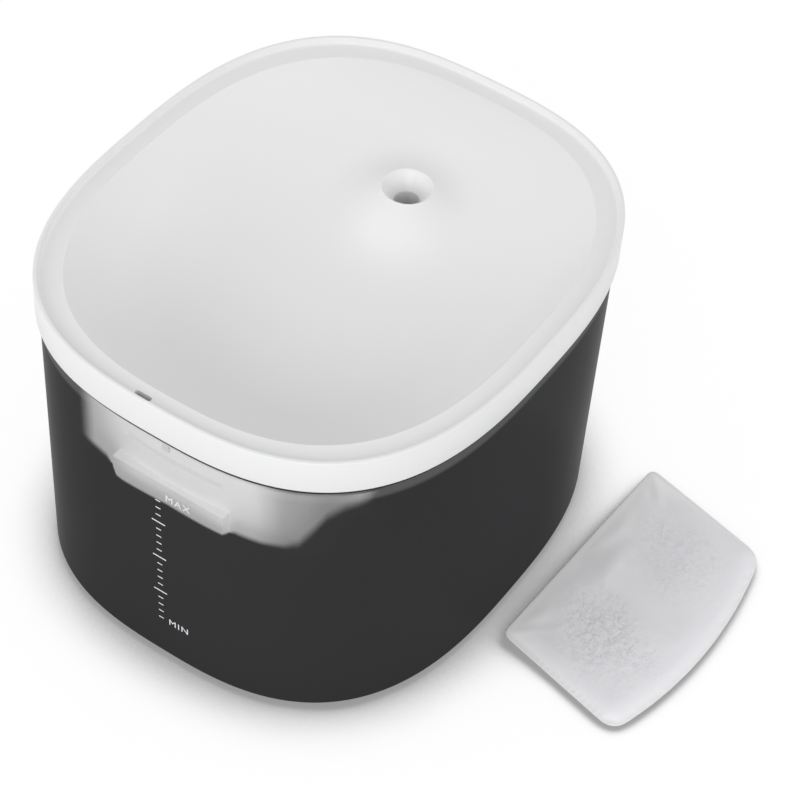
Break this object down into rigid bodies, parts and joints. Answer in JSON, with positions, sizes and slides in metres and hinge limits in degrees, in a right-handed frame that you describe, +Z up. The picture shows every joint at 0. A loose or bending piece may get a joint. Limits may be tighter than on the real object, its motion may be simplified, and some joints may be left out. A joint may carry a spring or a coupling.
{
  "type": "pet water fountain",
  "caption": "Pet water fountain: smoked tank capped by a white drinking bowl with a spout dome, a submersible pump, a filter tray under the bowl and a spare filter pouch.",
  "frame": {"origin": "centre of the foot ring, on the plane the fountain stands on", "axes": "+Z up; the face with the level scale and the deep end of the bowl look to -Y; the lead leaves through the rear wall at +Y; +X is to the right when seen from the front"},
  "size_m": [0.2802, 0.23, 0.155],
  "materials": {
    "smoked_plastic": "glossy smoked see-through",
    "bowl_plastic": "satin white",
    "tray_plastic": "satin light grey",
    "rubber": "matte",
    "pump_plastic": "satin black",
    "impeller_plastic": "satin",
    "magnet": "satin black ferrite",
    "ceramic": "polished",
    "sponge": "open-cell foam",
    "clear_tube": "milky see-through",
    "filter_cloth": "white non-woven",
    "filter_granules": "granules and fibres"
  },
  "bodies": {
    "base": {"tank": "smoked_plastic", "foot_ring": "rubber", "cable_grommet": "rubber", "pump_body": "pump_plastic", "impeller_cover": "pump_plastic", "rotor_shaft": "ceramic", "shaft_bushes": "rubber", "suction_cups": "rubber", "riser_tube": "clear_tube", "spout_gasket": "rubber"},
    "rotor": {"impeller": "impeller_plastic", "rotor_magnet": "magnet"},
    "strainer": {"intake_cover": "pump_plastic", "pump_sponge": "sponge"},
    "dial": {"flow_regulator": "impeller_plastic"},
    "bowl": {"drinking_bowl": "bowl_plastic"},
    "tray": {"filter_tray": "tray_plastic"},
    "filter": {"filter_base_sheet": "filter_cloth", "filter_media": "filter_granules", "filter_top_sheet": "filter_cloth"},
    "spare_filter": {"spare_filter_base_sheet": "filter_cloth", "spare_filter_media": "filter_granules", "spare_filter_top_sheet": "filter_cloth"}
  },
  "joints": [
    {"name": "bowl_lift", "type": "slide", "parent": "base", "child": "bowl", "axis": [0, 0, 1], "range_m": [0, 0.085]},
    {"name": "tray_release", "type": "slide", "parent": "bowl", "child": "tray", "axis": [0, 0, -1], "range_m": [0, 0.045]},
    {"name": "filter_lift", "type": "slide", "parent": "tray", "child": "filter", "axis": [0, 0, 1], "range_m": [0, 0.006]},
    {"name": "spare_filter_lift", "type": "slide", "parent": "base", "child": "spare_filter", "axis": [0, 0, 1], "range_m": [0, 0.1]},
    {"name": "impeller_spin", "type": "hinge", "parent": "base", "child": "rotor", "pos_m": [0, 0.06, 0.0282], "axis": [0, 1, 0], "continuous": true},
    {"name": "intake_pull", "type": "slide", "parent": "base", "child": "strainer", "axis": [0, -1, 0], "range_m": [0, 0.02]},
    {"name": "dial_turn", "type": "hinge", "parent": "strainer", "child": "dial", "pos_m": [0, 0.021, 0.0282], "axis": [0, -1, 0], "range_deg": [0, 45]}
  ]
}
